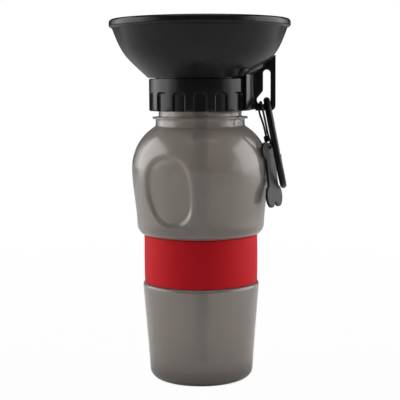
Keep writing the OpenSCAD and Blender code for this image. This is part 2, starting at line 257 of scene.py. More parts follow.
tag_cord = swept("tag_cord_lay", cord_line, [CORD_R] * len(cord_line), Matrix(), CORD_SIDES)
dress(tag_cord, "tag", "black_cord", "tag_cord")
[tuple(point * MM) for point in cord_line]
print("cord length in mm:", round(sum((b - a).length for a, b in zip(cord_line, cord_line[1:])), 2))

# %% [markdown]
# ## Bottle
# The bottle is blown from soft plastic. Its wall is a skin of even thickness, so the inside
# repeats the outside. Two egg-shaped dents make it easy to squeeze, and a screw thread runs
# round the neck. All of this is one closed grid, outside and inside, because light has to go
# in and out of a real wall for the see-through look. Dents and thread are changes of the
# grid's radius, which keeps the mesh clean where a cut would leave slivers.

# %% Bottle outline
WALL = 1.5
BASE_T = 3
FOOT_R, FOOT_CORNER = 26.4, 5.5
GROOVE_R, GROOVE_LOW, GROOVE_HIGH = 33.2, 60.1, 89.7
BULGE_R, BULGE_Z = 42, 130
SHOULDER_R = (29, 29.7)
NECK_BASE_R, NECK_R, NECK_BORE_R = 27.2, 25.35, 23.4
BEAD_R, BEAD_LOW, BEAD_T = 29.1, 160.3, 1.1
MOUTH_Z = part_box("bottle")[1].z / MM
LOWER_SIDE = [(31.9, 5.6), (33, 22), (34.4, 40), (35.8, 57.8)]
UPPER_SIDE = [(39.05, 97.6), (39.6, 108), (BULGE_R - 0.1, 120), (BULGE_R, BULGE_Z)]
PUNT = [(0, 2), (12, 1.9), (20, 1.3), (21.4, 0.7), (22.6, 0.1)]


def bottle_side(d):
    """The bottle's wall from foot to shoulder, moved inwards by d."""
    shoulder = (BULGE_R - SHOULDER_R[0], BULGE_Z)
    return (
        arc((FOOT_R, FOOT_CORNER), (FOOT_CORNER - d, FOOT_CORNER - d), -90, 0, 10)
        + bezier(*[(r - d, z) for r, z in LOWER_SIDE], 30)[1:]
        + arc((34 - d * 0.6, 58.1), (1.8 - d * 0.4, 2 - d), 8, 90, 6)
        + rounded([(33.8 - d, GROOVE_LOW - d), (GROOVE_R - d, GROOVE_LOW - d, 0.3),
                   (GROOVE_R - d, GROOVE_HIGH + d, 0.5), (34.2 - d, GROOVE_HIGH + d)])
        + arc((34.3, 96.4), (4.7 - d, 6.7 - d), -90, -5, 14)
        + bezier(*[(r - d, z) for r, z in UPPER_SIDE], 26)
        + arc(shoulder, (SHOULDER_R[0] - d, SHOULDER_R[1] - d), 4, 59.5 + 2 * d, 24)
    )


outside = PUNT + bottle_side(0)
neck = rounded([
    outside[-1], (NECK_BASE_R, 156.5, 1.6), (NECK_BASE_R, BEAD_LOW - 0.3, 0.3), (BEAD_R, BEAD_LOW, 0.4),
    (BEAD_R, BEAD_LOW + BEAD_T, 0.4), (NECK_R, BEAD_LOW + BEAD_T + 0.2, 0.5), (NECK_R, MOUTH_Z, 0.4),
    (NECK_BORE_R, MOUTH_Z, 0.4), (NECK_BORE_R, 152.8, 1.2), bottle_side(WALL)[-1],
])
bottom = [(21.5, BASE_T + 0.2), (20, BASE_T + 0.6), (12, BASE_T + 1.6), (0, BASE_T + 1.8)]
bottle_outline = split_long(outside + neck[1:-1] + bottle_side(WALL)[::-1][:-1] + bottom, 1.1)
print("bottle outline points:", len(bottle_outline))

# %% Dents and thread as changes of the radius
DENT_TURN, DENT_Z = -30.5, 118.8
DENT_HALF = (17.2, 21.6)
DENT_POWER = 2.4
DENT_BOW = 2
DENT_EDGE = (0.86, 1.02)
DENT_RIM, DENT_DISH = 1.9, 1.7
DENT_REACH = (85, 140)
PITCH, THREAD_Z, THREAD_TURNS, THREAD_H = 25.4 / 6, 165.4, 1.3, 1.1
THREAD_LOW, THREAD_FADE, THREAD_FLANK = 163, 20, (0.4, 1.1)


def dent(z, angle):
    """How far the squeeze dents push the wall in, at a height and an angle."""
    push = 0
    for turn in (DENT_TURN, DENT_TURN + 180):
        across = math.radians((angle - turn + 180) % 360 - 180) * BULGE_R
        up = (z - DENT_Z) / DENT_HALF[1]
        across -= DENT_BOW * (up - 0.4) ** 2
        reach = (abs(across / DENT_HALF[0]) ** DENT_POWER + abs(up) ** DENT_POWER) ** (1 / DENT_POWER)
        push += (1 - smooth_step(*DENT_EDGE, reach)) * (DENT_RIM + DENT_DISH * max(0, 1 - reach ** 2))
    return push


def thread(z, angle):
    """Height of the screw thread's ridge, at a height and an angle."""
    height = 0
    for whole in (0, 360):
        way = angle % 360 + whole
        if way > 360 * THREAD_TURNS:
            continue
        off = abs(z - THREAD_Z - PITCH * way / 360)
        left = 360 * THREAD_TURNS - way
        fade = smooth_step(0, THREAD_FADE, way) * smooth_step(0, THREAD_FADE, left)
        height = max(height, THREAD_H * fade * (1 - smooth_step(*THREAD_FLANK, off)))
    return height


def bottle_shape(r, z, angle):
    """The wall's radius with dents and thread, at a point of the plain outline."""
    if DENT_REACH[0] < z < DENT_REACH[1]:
        return r - dent(z, angle)
    if z > THREAD_LOW and r > NECK_R - 0.1:
        return r + thread(z, angle)
    return r


bottle = turned("bottle_skin", bottle_outline, even_angles(288), bottle_shape)
dress(bottle, "bottle", "smoke_plastic", "bottle")

# %% [markdown]
# ## Grip band
# The band is a wide ring of silicone that sits in the bottle's waist. Its outer edges are
# soft, and its face bows out by a hair between them, as a stretched rubber ring does.

# %% Grip band
band_low, band_high = (corner.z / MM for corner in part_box("grip_band"))
band_middle = (band_low + band_high) / 2
BAND_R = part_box("grip_band")[1].x / MM
BAND_IN, BAND_BOW = GROOVE_R + 0.05, 0.15
band_outline = rounded([
    (BAND_IN, band_middle), (BAND_IN, band_low, 0.3),
    (BAND_R - BAND_BOW, band_low, 0.7), (BAND_R, band_middle),
    (BAND_R - BAND_BOW, band_high, 0.7), (BAND_IN, band_high, 0.3),
    (BAND_IN, band_middle + 0.1),
])
grip_band = turned("grip_band_sleeve", split_long(band_outline, 2), even_angles(240))
dress(grip_band, "bottle", "red_silicone", "grip_band")

# %% [markdown]
# ## Collar
# The collar is an injection moulding. The lower part of its wall has grip flutes with arched
# tops. Each flute is a rounded rectangle on the wall, and the wall sinks inside it. The grid
# is finer near the flutes' edges, so that the rounding of an edge has points to live on.

# %% Collar
COLLAR_R, FLUTES, FLUTE_D = 31.1, 15, 1.5
COLLAR_LOW, COLLAR_TOP = 165, 184.6
BORE_R, BOSS_R, SOCKET_R, WATER_R = 26.9, 7.2, 4.75, 3.4
DECK_LOW, DECK_TOP, RECESS_R = 180, 182.6, 27.5
TOWER_R, TOWER_TOP, STEM_R, STEM_TOP = 8, 196.6, 5.8, 199.2
RING_CORD_R, RING_GROOVE, RING_ZS = 0.9, 1.75, (186.8, 194)
BOSS_LOW, BORE_SPLIT = 169, 171
FINE_LOW, FINE_HIGH = 173, 177
FLUTE_HALF, FLUTE_TOP, FLUTE_CORNER = 4, 176.3, 2.4


def collar_shape(r, z, angle):
    """Sinks the flutes into the collar's outer wall."""
    if r < COLLAR_R - 1.2:
        return r
    pitch = 360 / FLUTES
    across = abs(math.radians((angle + pitch / 2) % pitch - pitch / 2) * COLLAR_R)
    corner = (max(across - FLUTE_HALF + FLUTE_CORNER, 0), max(z - FLUTE_TOP + FLUTE_CORNER, 0))
    inside = FLUTE_CORNER - math.hypot(*corner)
    return min(r, COLLAR_R - FLUTE_D * smooth_step(-0.15, 0.65, inside))


flute_steps = [0, 2, 3.5, 5, 5.8, 6.3, 6.6, 6.9, 7.2, 7.5, 7.8, 8.3, 9.5, 11, 12]
flute_steps += [-step for step in flute_steps]
flute_at = [360 / FLUTES * i for i in range(FLUTES)]
collar_angles = sorted({round(at + step, 4) for at in flute_at for step in flute_steps})[:-1]
grooves = []
for z in RING_ZS:
    low, high, depth = z - RING_CORD_R, z + RING_CORD_R, TOWER_R - RING_GROOVE
    grooves += [(TOWER_R, low), (depth, low), (depth, high), (TOWER_R, high)]
wall = rounded([
    (BORE_R, BORE_SPLIT), (BORE_R, COLLAR_LOW, 0.5), (COLLAR_R, COLLAR_LOW, 1), (COLLAR_R, 170),
], 5)
wall = split_long(wall, 1.4)[:-1] + split_long([(COLLAR_R, 170), (COLLAR_R, FINE_LOW)], 1)
wall += split_long([(COLLAR_R, FINE_LOW), (COLLAR_R, FINE_HIGH)], 0.22)[1:]
crown = rounded([
    (COLLAR_R, FINE_HIGH), (COLLAR_R, COLLAR_TOP, 0.9), (RECESS_R, COLLAR_TOP, 0.4),
    (RECESS_R, DECK_TOP, 0.3), (TOWER_R, DECK_TOP, 0.5), *grooves,
    (TOWER_R, TOWER_TOP, 0.4), (STEM_R, TOWER_TOP), (STEM_R, STEM_TOP, 0.4), (0, STEM_TOP),
])
under = rounded([
    (0, TOWER_TOP - 3), (WATER_R, TOWER_TOP - 3), (WATER_R, DECK_LOW - 2, 0.3),
    (SOCKET_R, DECK_LOW - 2), (SOCKET_R, BOSS_LOW, 0.3), (BOSS_R, BOSS_LOW, 0.5),
    (BOSS_R, DECK_LOW, 0.8), (BORE_R, DECK_LOW, 0.5), (BORE_R, BORE_SPLIT + 0.2),
])
collar = turned("collar_ring", under + wall + crown[1:], collar_angles, collar_shape)
dress(collar, "lid", "black_plastic", "collar")

# %% [markdown]
# ## Drinking bowl
# The bowl flares from the collar in one sweep and ends in a rolled lip. Its hub turns on the
# collar's tower and has two side ports for the water. The flare is a Bezier curve, the inside
# is the same curve moved inwards, and a thin ring below the floor keeps the hub centred.

# %% Bowl outline
BOWL_LOW, FLOOR_T, HUB_R, HUB_TOP = 185, 2.2, 11.5, 196.2
BOWL_WALL, RIM_R, LIP_LOW, BOWL_TOP = 2.2, 55, 215.1, 220
FLARE = [(31.6, 185), (45, 197.5), (47.3, 198.6), (53.1, 214.8)]
HUB_BORE = TOWER_R + 0.05

flare = bezier(*FLARE, 40)
inner_flare = [(r - BOWL_WALL, z) for r, z in flare if z > BOWL_LOW + FLOOR_T + 2.5][::-1]
lip = arc((RIM_R - 1.8, LIP_LOW + 1.4), (1.8, 1.5), -80, 0, 6)
lip += arc((RIM_R - 2, BOWL_TOP - 2), (2, 2), 0, 90, 8)
lip += arc((RIM_R - 3.2, BOWL_TOP - 1.4), (1.4, 1.4), 90, 175, 6)
RING_OUT, RING_IN, RING_LOW = 27.1, 25, 183.1
floor = rounded([
    inner_flare[-1], (29.5, BOWL_LOW + FLOOR_T, 3.5), (HUB_R, BOWL_LOW + FLOOR_T, 1.2),
    (HUB_R, HUB_TOP, 0.7), (HUB_BORE, HUB_TOP, 0.3), (HUB_BORE, BOWL_LOW, 0.2),
    (RING_IN, BOWL_LOW), (RING_IN, RING_LOW, 0.3), (RING_OUT, RING_LOW, 0.3), (RING_OUT, BOWL_LOW),
    flare[0],
])
bowl_outline = flare + lip + inner_flare + floor[1:-1]
print("bowl outline points:", len(bowl_outline))

# %% [markdown]
# The ports and the small index block under the flare aren't turned. They are cut out or
# joined with Boolean modifiers, which are applied at once, so that what is left is one mesh.

# %% Bowl with its ports and index block
def add_cylinder(name, radius, start, end, sides=24):
    """A closed round bar between two points, as a tool for cutting."""
    start, end = Vector(start), Vector(end)
    turn = (end - start).to_track_quat("Z", "Y")
    rings = []
    for place in (start, end):
        for k in range(sides):
            t = 2 * math.pi * k / sides
            rings.append(tuple(place + turn @ Vector((radius * math.cos(t), radius * math.sin(t), 0))))
    faces = [(k, (k + 1) % sides, sides + (k + 1) % sides, sides + k) for k in range(sides)]
    faces += [tuple(range(sides)), tuple(range(sides, 2 * sides))]
    return add_mesh(name, rings, faces)


def soft_block(name, size, bevel, place):
    """A block with rounded edges, set in place by a matrix in millimetres."""
    solid = bmesh.new()
    bmesh.ops.create_cube(solid, size=1)
    bmesh.ops.scale(solid, vec=size, verts=solid.verts)
    bmesh.ops.bevel(solid, geom=solid.edges[:], offset=bevel, segments=3, affect="EDGES", profile=0.5)
    bmesh.ops.transform(solid, matrix=Matrix.Scale(MM, 4) @ place, verts=solid.verts)
    mesh = bpy.data.meshes.new(name)
    solid.to_mesh(mesh)
    solid.free()
    piece = bpy.data.objects.new(name, mesh)
    bpy.context.scene.collection.objects.link(piece)
    return piece


def combine(piece, tools, operation):
    """Cuts tools out of a piece, or joins them to it, and removes the tools."""
    for tool in tools:
        step = piece.modifiers.new("step", "BOOLEAN")
        step.operation, step.object, step.solver = operation, tool, "EXACT"
    bpy.context.view_layer.update()
    shaped = bpy.data.meshes.new_from_object(piece.evaluated_get(bpy.context.evaluated_depsgraph_get()))
    piece.modifiers.clear()
    piece.data = shaped
    piece.data.shade_smooth()
    piece.data.set_sharp_from_angle(angle=SHARP)
    for tool in tools:
        bpy.data.objects.remove(tool)


PORT_R, PORT_Z = 1.6, 190.4
INDEX_TURN, INDEX_SLOPE, INDEX_AT, INDEX_SIZE = 46, -44, (35.4, 0, 188.2), (5, 4.4, 2)
bowl = turned("bowl_shell", bowl_outline, even_angles(256))
ports = [add_cylinder("port", PORT_R, (side * 7, 0, PORT_Z), (side * 14, 0, PORT_Z)) for side in (-1, 1)]
combine(bowl, ports, "DIFFERENCE")
index_place = (Matrix.Rotation(math.radians(INDEX_TURN - 90), 4, "Z") @ Matrix.Translation(INDEX_AT)
               @ Matrix.Rotation(math.radians(INDEX_SLOPE), 4, "Y"))
combine(bowl, [soft_block("index", INDEX_SIZE, 0.5, index_place)], "UNION")
dress(bowl, "drinking_bowl", "black_plastic", "bowl")

# %% [markdown]
# ## Hanging plate
# The plate is moulded with the bowl and reaches down beside the collar. Its keyhole takes the
# carabiner in the long slot and the cord in the round lobe. A flat curve with a filled
# outline, an inner outline for the keyhole and a bevel gives a plate with rounded edges. The
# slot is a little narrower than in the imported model, as the photograph shows it.

# %% Flat pieces
def flat_piece(name, outlines, thickness, edge):
    """A plate from closed outlines in millimetres, its edges rounded without growing it."""
    shape = bpy.data.objects.new(name, bpy.data.curves.new(name, "CURVE"))
    bpy.context.scene.collection.objects.link(shape)
    shape.data.dimensions, shape.data.fill_mode = "2D", "BOTH"
    for outline in outlines:
        loop = shape.data.splines.new("POLY")
        loop.points.add(len(outline) - 1)
        for knot, (x, y) in zip(loop.points, outline):
            knot.co = (x * MM, y * MM, 0, 1)
        loop.use_cyclic_u = True
    shape.data.extrude = (thickness / 2 - edge) * MM
    shape.data.bevel_depth = edge * MM
    shape.data.bevel_resolution = 3
    shape.data.offset = -edge * MM
    bpy.context.view_layer.update()
    mesh = bpy.data.meshes.new_from_object(shape.evaluated_get(bpy.context.evaluated_depsgraph_get()))
    bpy.data.objects.remove(shape)
    solid = bmesh.new()
    solid.from_mesh(mesh)
    bmesh.ops.remove_doubles(solid, verts=solid.verts, dist=0.001 * MM)
    bmesh.ops.recalc_face_normals(solid, faces=solid.faces)
    solid.to_mesh(mesh)
    solid.free()
    mesh.shade_smooth()
    mesh.set_sharp_from_angle(angle=SHARP)
    piece = bpy.data.objects.new(name, mesh)
    bpy.context.scene.collection.objects.link(piece)
    return piece


print("flat pieces: flat_piece")

# %% Hanging plate
PLATE_T, PLATE_IN, PLATE_OUT, PLATE_LOW = 4, 32.9, 46, 164.8
SLOT_X, SLOT_W, SLOT_LOW, SLOT_HIGH, SLOT_SPLIT = 40.7, 4.7, 170.7, 187.3, 176.8
LOBE, LOBE_R, LOBE_TANGENT = (37.4, 171.4), 2.8, 125
PLATE_EDGE = 0.35

PLATE_NOTCH, PLATE_CORNER = (33.8, PLATE_LOW + 0.8), 3.6
top_edge = [(r + 0.5, z + 0.4) for r, z in flare if PLATE_IN + 0.3 < r < PLATE_OUT - 0.8]
plate_outline = rounded([
    (PLATE_IN, 175), (PLATE_IN, PLATE_NOTCH[1], 0.4), (*PLATE_NOTCH, 0.3), (PLATE_NOTCH[0], PLATE_LOW, 0.3),
    (PLATE_OUT, PLATE_LOW, PLATE_CORNER), (PLATE_OUT, top_edge[-1][1]),
], 8) + top_edge[::-1] + [(PLATE_IN, top_edge[0][1] - 0.4)]
slot_r = SLOT_W / 2
tangent = arc(LOBE, (LOBE_R, LOBE_R), LOBE_TANGENT, 180)[0]
split = rounded([(SLOT_X - slot_r, SLOT_HIGH), (SLOT_X - slot_r, SLOT_SPLIT, 0.8), tangent])
keyhole = (
    arc((SLOT_X, SLOT_HIGH), (slot_r, slot_r), 0, 180, 16) + split[1:-1]
    + arc(LOBE, (LOBE_R, LOBE_R), LOBE_TANGENT, 288, 20)
    + arc((SLOT_X, SLOT_LOW), (slot_r, slot_r), 228, 360, 14)
)
plate = flat_piece("hang_plate", [plate_outline, keyhole], PLATE_T, PLATE_EDGE)
plate.data.transform(Matrix.Rotation(math.pi / 2, 4, "X"))

# %% [markdown]
# A curved saddle joins the plate to the bowl round the collar, and a thin bead runs from its
# upper corners over the flare to the plate, where the mould's two halves for the bracket meet.

# %% Saddle and beads
SADDLE_R, SADDLE_HALF, SADDLE_LOW = (31.7, 33.4), 35, 165.6
BEAD_SPAN, BEAD_ZS, BEAD_THICK = (54.5, 87), (188.5, 192.3), 0.42


def flare_radius(z):
    """Radius of the bowl's outside at a height."""
    for (r0, z0), (r1, z1) in zip(flare, flare[1:]):
        if z0 <= z <= z1:
            return r0 + (r1 - r0) * (z - z0) / (z1 - z0)
    return flare[0][0]


def sector(name, outline, angles, inset):
    """Part of a turned piece between two angles, with its two ends rounded by inset mm."""
    middle = [sum(p[k] for p in outline) / len(outline) for k in (0, 1)]
    vertices = []
    for i, angle in enumerate(angles):
        small = inset if i in (0, len(angles) - 1) else 0
        turn = math.radians(angle)
        for r, z in outline:
            r += math.copysign(min(small, abs(middle[0] - r)), middle[0] - r)
            z += math.copysign(min(small, abs(middle[1] - z)), middle[1] - z)
            vertices.append((r * math.sin(turn), -r * math.cos(turn), z))
    n = len(outline)
    faces = [(i * n + k, i * n + (k + 1) % n, (i + 1) * n + (k + 1) % n, (i + 1) * n + k)
             for i in range(len(angles) - 1) for k in range(n)]
    faces += [tuple(range(n)), tuple(range(len(vertices) - n, len(vertices)))]
    return add_mesh(name, vertices, faces)


SADDLE_TOPS, SADDLE_END = (184, 187.2), 0.6
saddle_outline = rounded([
    (SADDLE_R[0], SADDLE_TOPS[0]), (SADDLE_R[0], SADDLE_LOW, 0.4),
    (SADDLE_R[1], SADDLE_LOW, 0.4), (SADDLE_R[1], SADDLE_TOPS[1]),
])
steps = [90 - SADDLE_HALF, 90 - SADDLE_HALF + SADDLE_END]
steps += [90 + SADDLE_HALF * k / 16 for k in range(-15, 16)]
steps += [90 + SADDLE_HALF - SADDLE_END, 90 + SADDLE_HALF]
saddle = sector("saddle", saddle_outline, steps, 0.3)
beads = []
for side in (-1, 1):
    line = []
    for k in range(25):
        t = k / 24
        turn = math.radians(90 + side * (90 - BEAD_SPAN[0] - (BEAD_SPAN[1] - BEAD_SPAN[0]) * t))
        z = BEAD_ZS[0] + (BEAD_ZS[1] - BEAD_ZS[0]) * t
        radius = flare_radius(z) + 0.1
        line.append((radius * math.sin(turn), -radius * math.cos(turn), z))
    beads.append(swept("bead", *domed(line, BEAD_THICK, 0.4), Matrix(), 12))
combine(plate, [saddle, *beads], "UNION")
dress(plate, "drinking_bowl", "black_plastic", "hang_bracket")

# %% [markdown]
# ## Carabiner
# The carabiner is bent from round rod. A tube is swept along its centre line: up the gate's
# side, over the top, down the plain side and round the bottom to the gate's hinge. Both ends
# are domed, and the lower one is forked for the gate's tongue.

# %% Carabiner
ROD_R, CLIP_LEAN, CLIP_TURN = 2, 11.2, -4
CLIP_TOP, BEND_R, CLIP_LEN = (40.65, 0, 171), 15.6, 52.8
GATE_TOP, PIN_AT, END_ROUND = 17.2, 36, 0.6
FORK_SIZE = (2, 10, 5)

clip_frame = (Matrix.Translation(CLIP_TOP) @ Matrix.Rotation(math.radians(CLIP_TURN), 4, "Z")
              @ Matrix.Rotation(math.radians(-CLIP_LEAN), 4, "Y"))
bend_low = -(CLIP_LEN - BEND_R)
clip_line = [(0, BEND_R, -GATE_TOP + 0.4), (0, BEND_R, -BEND_R - END_ROUND)]
clip_line += [(0, y, z - BEND_R) for y, z in arc((0, 0), (BEND_R, BEND_R), 0, 180, 32)]
clip_line += [(0, -BEND_R, z) for z in (-20, -25, -30, -35)]
clip_line += [(0, y, z + bend_low) for y, z in arc((0, 0), (BEND_R, BEND_R), 180, 360, 32)]
clip_line += [(0, BEND_R, -PIN_AT + 0.4), (0, BEND_R, -PIN_AT + 1.6)]
clip_centre, clip_radii = domed(clip_line, ROD_R, END_ROUND)
carabiner = swept("carabiner_rod", clip_centre, clip_radii, clip_frame)
fork_place = clip_frame @ Matrix.Translation((0, BEND_R, -PIN_AT + 0.3))
combine(carabiner, [soft_block("fork", FORK_SIZE, 0.1, fork_place)], "DIFFERENCE")
dress(carabiner, "carabiner", "black_enamel", "carabiner_body")

# %% [markdown]
# ## Tag
# The tag is a flat bone of rubber with a black edge and a grey face. Its outline is four round
# lobes and a straight shaft, with small fillets where they meet. Only the right side is
# worked out, and its mirror image closes the outline.

# %% Tag
TAG_HOLE, TAG_LEAN, TAG_TURN, TAG_T = (41.25, -12.3, 142.6), 6.9, 60, 1.6
HOLE_R, HOLE_DROP = 1, 3.7
BONE_LEN, SHAFT_HALF = 39.4, 6
HEAD_SIDE, HEAD_LOBE = 4.3, (5.5, 5.2)
FOOT_SIDE, FOOT_LOBE = 4.7, (5.3, 6.6)
TAG_EDGE = 0.25
FILLET = 5


def lobe_side(side, radii):
    """Right half of one end of the bone, from its notch on the middle line to the shaft."""
    middle = BONE_LEN / 2 - radii[1]
    notch = math.degrees(math.acos(-side / radii[0]))
    waist = -math.degrees(math.acos((SHAFT_HALF - side) / radii[0]))
    lobe = arc((side, middle), radii, notch - FILLET, waist + FILLET, 24)
    dip = middle + radii[1] * math.sin(math.radians(notch))
    foot = middle + radii[1] * math.sin(math.radians(waist))
    return [(0, dip + 0.2)] + lobe + [(SHAFT_HALF + 0.2, foot - 0.1), (SHAFT_HALF, foot - 1.2)]


head, foot = lobe_side(HEAD_SIDE, HEAD_LOBE), [(x, -y) for x, y in lobe_side(FOOT_SIDE, FOOT_LOBE)[::-1]]
right = head + foot
bone_outline = right + [(-x, y) for x, y in right[::-1] if x > 0]
hole = arc((0, BONE_LEN / 2 - HOLE_DROP), (HOLE_R, HOLE_R), 0, 360, 24)[:-1]
bone_tag = flat_piece("bone_tag_plate", [bone_outline, hole], TAG_T, TAG_EDGE)
tag_turned = (Matrix.Rotation(math.radians(TAG_TURN), 4, "Z")
              @ Matrix.Rotation(math.radians(90 - TAG_LEAN), 4, "X"))
bone_tag.data.transform(
    Matrix.Translation(Vector(TAG_HOLE) * MM) @ tag_turned
    @ Matrix.Translation((0, (HOLE_DROP - BONE_LEN / 2) * MM, 0))
)
dress(bone_tag, "tag", "grey_rubber", "bone_tag")

# %% [markdown]
# ## Cap of the valve
# A low dome is pressed on the tower's stem, in the middle of the bowl. Only its top shows. It
# is turned like the rest, so that its rim is round and its crown is smooth.

# %% Valve cap
CAP_R, CAP_LOW, CAP_EDGE = TOWER_R + 3, TOWER_TOP, 1.6
cap_outline = rounded([
    (STEM_R, CAP_LOW + 1), (STEM_R, CAP_LOW, 0.2), (CAP_R, CAP_LOW, 0.7), (CAP_R, CAP_LOW + 1.2),
]) + arc((0, CAP_LOW + CAP_EDGE), (CAP_R, 4), 6, 90, 18)
cap_outline = [(0, STEM_TOP), (STEM_R, STEM_TOP)] + cap_outline
valve_cap = turned("valve_cap_dome", cap_outline, even_angles(96))
dress(valve_cap, "lid", "black_plastic", "valve_cap")

# %% [markdown]
# ## Sums with sockets
# A finish is worked out from noise, height and direction. With this small class a node's
# output is used like a number: `1 - mask` or `noise * 0.2` adds the node that does the sum.
# Colours go through Mix, because a Math node would turn them grey.

# %% A class for finishes
class Wire:
    """An output of a material's nodes that sums can be written with."""

    def __init__(self, tree, socket):
        self.tree = tree
        self.socket = socket

    def math(self, operation, *values):
        return add_node(self.tree, "ShaderNodeMath", {"operation": operation}, dict(enumerate(values)))

    def __add__(self, other):
        return self.math("ADD", self, other)

    def __rsub__(self, other):
        return self.math("SUBTRACT", other, self)

    def __mul__(self, other):
        return self.math("MULTIPLY", self, other)

    __radd__ = __add__
    __rmul__ = __mul__

    def blend(self, first, second):
        """The first colour where this is 0 and the second where it is 1."""
        return add_node(self.tree, "ShaderNodeMix", {"data_type": "RGBA"},
                        {0: self, 6: first, 7: second}, 2)

    def between(self, low, high):
        """0 where this is below low, 1 above high, and smooth between."""
        return add_node(self.tree, "ShaderNodeMapRange", {"interpolation_type": "SMOOTHSTEP"},
                        {0: self, 1: low, 2: high})


def add_node(tree, kind, settings, inputs, output=0):
    """Adds a node, sets it, feeds its sockets with values or wires, and gives one output."""
    node = tree.nodes.new(kind)
    for name, value in settings.items():
        setattr(node, name, value)
    for key, value in inputs.items():
        if isinstance(value, Wire):
            tree.links.new(value.socket, node.inputs[key])
        elif isinstance(value, tuple) and len(value) == 3 and len(node.inputs[key].default_value) == 4:
            node.inputs[key].default_value = (*value, 1)
        else:
            node.inputs[key].default_value = value
    return Wire(tree, node.outputs[output])


def finish(name, pieces, build):
    """Makes a material whose look comes from build and puts it on pieces."""
    material = bpy.data.materials.new(name)
    material.use_nodes = True
    tree = material.node_tree
    tree.nodes.clear()
    place = add_node(tree, "ShaderNodeTexCoord", {}, {}, 3)
    surface = build(tree, place)
    tree.links.new(surface.socket, tree.nodes.new("ShaderNodeOutputMaterial").inputs["Surface"])
    for piece in pieces:
        piece.data.materials.clear()
        piece.data.materials.append(material)
    print(name, "nodes:", len(tree.nodes), "on", [piece.name for piece in pieces])


def noise(tree, place, size_mm, detail=3):
    """Noise whose lumps are about size_mm across."""
    return add_node(tree, "ShaderNodeTexNoise", {}, {
        "Vector": place, "Scale": 1 / (size_mm * MM), "Detail": detail, "Roughness": 0.5,
    })


def bump(tree, height, depth_mm):
    """Relief from a height of 0 to 1 that is depth_mm deep."""
    return add_node(tree, "ShaderNodeBump", {}, {
        "Height": height, "Distance": depth_mm * MM, "Strength": 1,
    })


print("finish helpers: Wire, add_node, finish, noise, bump")

# %% [markdown]
# ## Black plastic
# The collar, the bowl, its plate and the cap are moulded in black polypropylene. It is glossy
# but not polished: the mould leaves a faint orange peel, and handling leaves a haze that
# changes the roughness here and there.

# %% Black plastic
def black_plastic(tree, place):
    haze = noise(tree, place, 18, 3)
    peel = noise(tree, place, 0.7, 2)
    colour = haze.blend((0.009, 0.009, 0.010), (0.015, 0.015, 0.016))
    return add_node(tree, "ShaderNodeBsdfPrincipled", {}, {
        "Base Color": colour, "Roughness": 0.17 + haze * 0.06, "Specular IOR Level": 0.32,
        "Normal": bump(tree, peel, 0.004),
    })


finish("black_plastic", [collar, bowl, plate, valve_cap], black_plastic)

# %% [markdown]
# ## Smoke plastic
# The bottle is soft polyethylene with a grey-brown tint. Light passes through it, but the
# wall is slightly milky: part of the light is scattered, which shows as a soft grey body
# colour, and the rest is blurred. So the shader is mostly transmission with a rough surface,
# and what isn't transmitted is diffuse. A thin clear coat keeps the reflections crisp, and the
# base colour is made darker towards the bottom.

# %% Smoke plastic
def smoke_plastic(tree, place):
    flow = noise(tree, place, 22, 3)
    wave = noise(tree, place, 9, 2)
    height = add_node(tree, "ShaderNodeSeparateXYZ", {}, {0: place}, 2)
    # Base colour darker towards the bottom: fully darker below 4 mm, fading out by 16 mm.
    bottom_darkening = 1 - height.between(0.004, 0.016)
    wall = flow.blend((0.54, 0.495, 0.455), (0.59, 0.545, 0.50))
    return add_node(tree, "ShaderNodeBsdfPrincipled", {}, {
        "Base Color": bottom_darkening.blend(wall, (0.36, 0.33, 0.305)), "Roughness": 0.2 + flow * 0.05, "IOR": 1.45,
        "Transmission Weight": 0.72, "Coat Weight": 0.5, "Coat Roughness": 0.06,
        "Normal": bump(tree, wave, 0.03),
    })


finish("smoke_plastic", [bottle], smoke_plastic)

# %% Tube plastic
def tube_plastic(tree, place):
    flow = noise(tree, place, 9, 3)
    return add_node(tree, "ShaderNodeBsdfPrincipled", {}, {
        "Base Color": flow.blend((0.74, 0.73, 0.71), (0.82, 0.81, 0.79)), "Roughness": 0.3 + flow * 0.1,
        "IOR": 1.45, "Transmission Weight": 0.55,
    })


finish("tube_plastic", [nodes["dip_tube"]], tube_plastic)

# %% [markdown]
# ## Red silicone
# Silicone is matt with a soft sheen, and its colour is deep. Fine mould texture and a little
# lint keep it from looking like paint.

# %% Red silicone
def red_silicone(tree, place):
    cloud = noise(tree, place, 11, 3)
    grain = noise(tree, place, 0.45, 3)
    lint = noise(tree, place, 0.8, 4).between(0.7, 0.78)
    colour = (cloud * 0.8 + lint * 0.4).blend((0.60, 0.008, 0.016), (0.68, 0.013, 0.023))
    return add_node(tree, "ShaderNodeBsdfPrincipled", {}, {
        "Base Color": colour, "Roughness": 0.52 + grain * 0.14, "Specular IOR Level": 0.12,
        "Normal": bump(tree, grain, 0.02),
    })


finish("red_silicone", [grip_band], red_silicone)

# %% [markdown]
# ## Seals
# The washers are clear silicone and the two small rings on the tower are dark red rubber.
# They are inside, and show only when the bowl is looked at closely or the lid is off.

# %% Seals
def clear_silicone(tree, place):
    cloud = noise(tree, place, 5, 3)
    return add_node(tree, "ShaderNodeBsdfPrincipled", {}, {
        "Base Color": cloud.blend((0.72, 0.73, 0.74), (0.84, 0.85, 0.85)), "Roughness": 0.35 + cloud * 0.15,
        "IOR": 1.41, "Transmission Weight": 0.4,
    })


def seal_rubber(tree, place):
    cloud = noise(tree, place, 3, 3)
    return add_node(tree, "ShaderNodeBsdfPrincipled", {}, {
        "Base Color": cloud.blend((0.20, 0.03, 0.025), (0.27, 0.045, 0.035)),
        "Roughness": 0.5 + cloud * 0.15,
    })


finish("clear_silicone", [nodes["neck_gasket"], nodes["bowl_washer"]], clear_silicone)
finish("seal_rubber", [nodes["tower_o_rings"]], seal_rubber)

# %% [markdown]
# ## Black enamel and steel
# The carabiner is lacquered rod: a thin clear coat over black, with tiny ripples where it was
# drawn and bent. Its pin and its spring are bare steel.

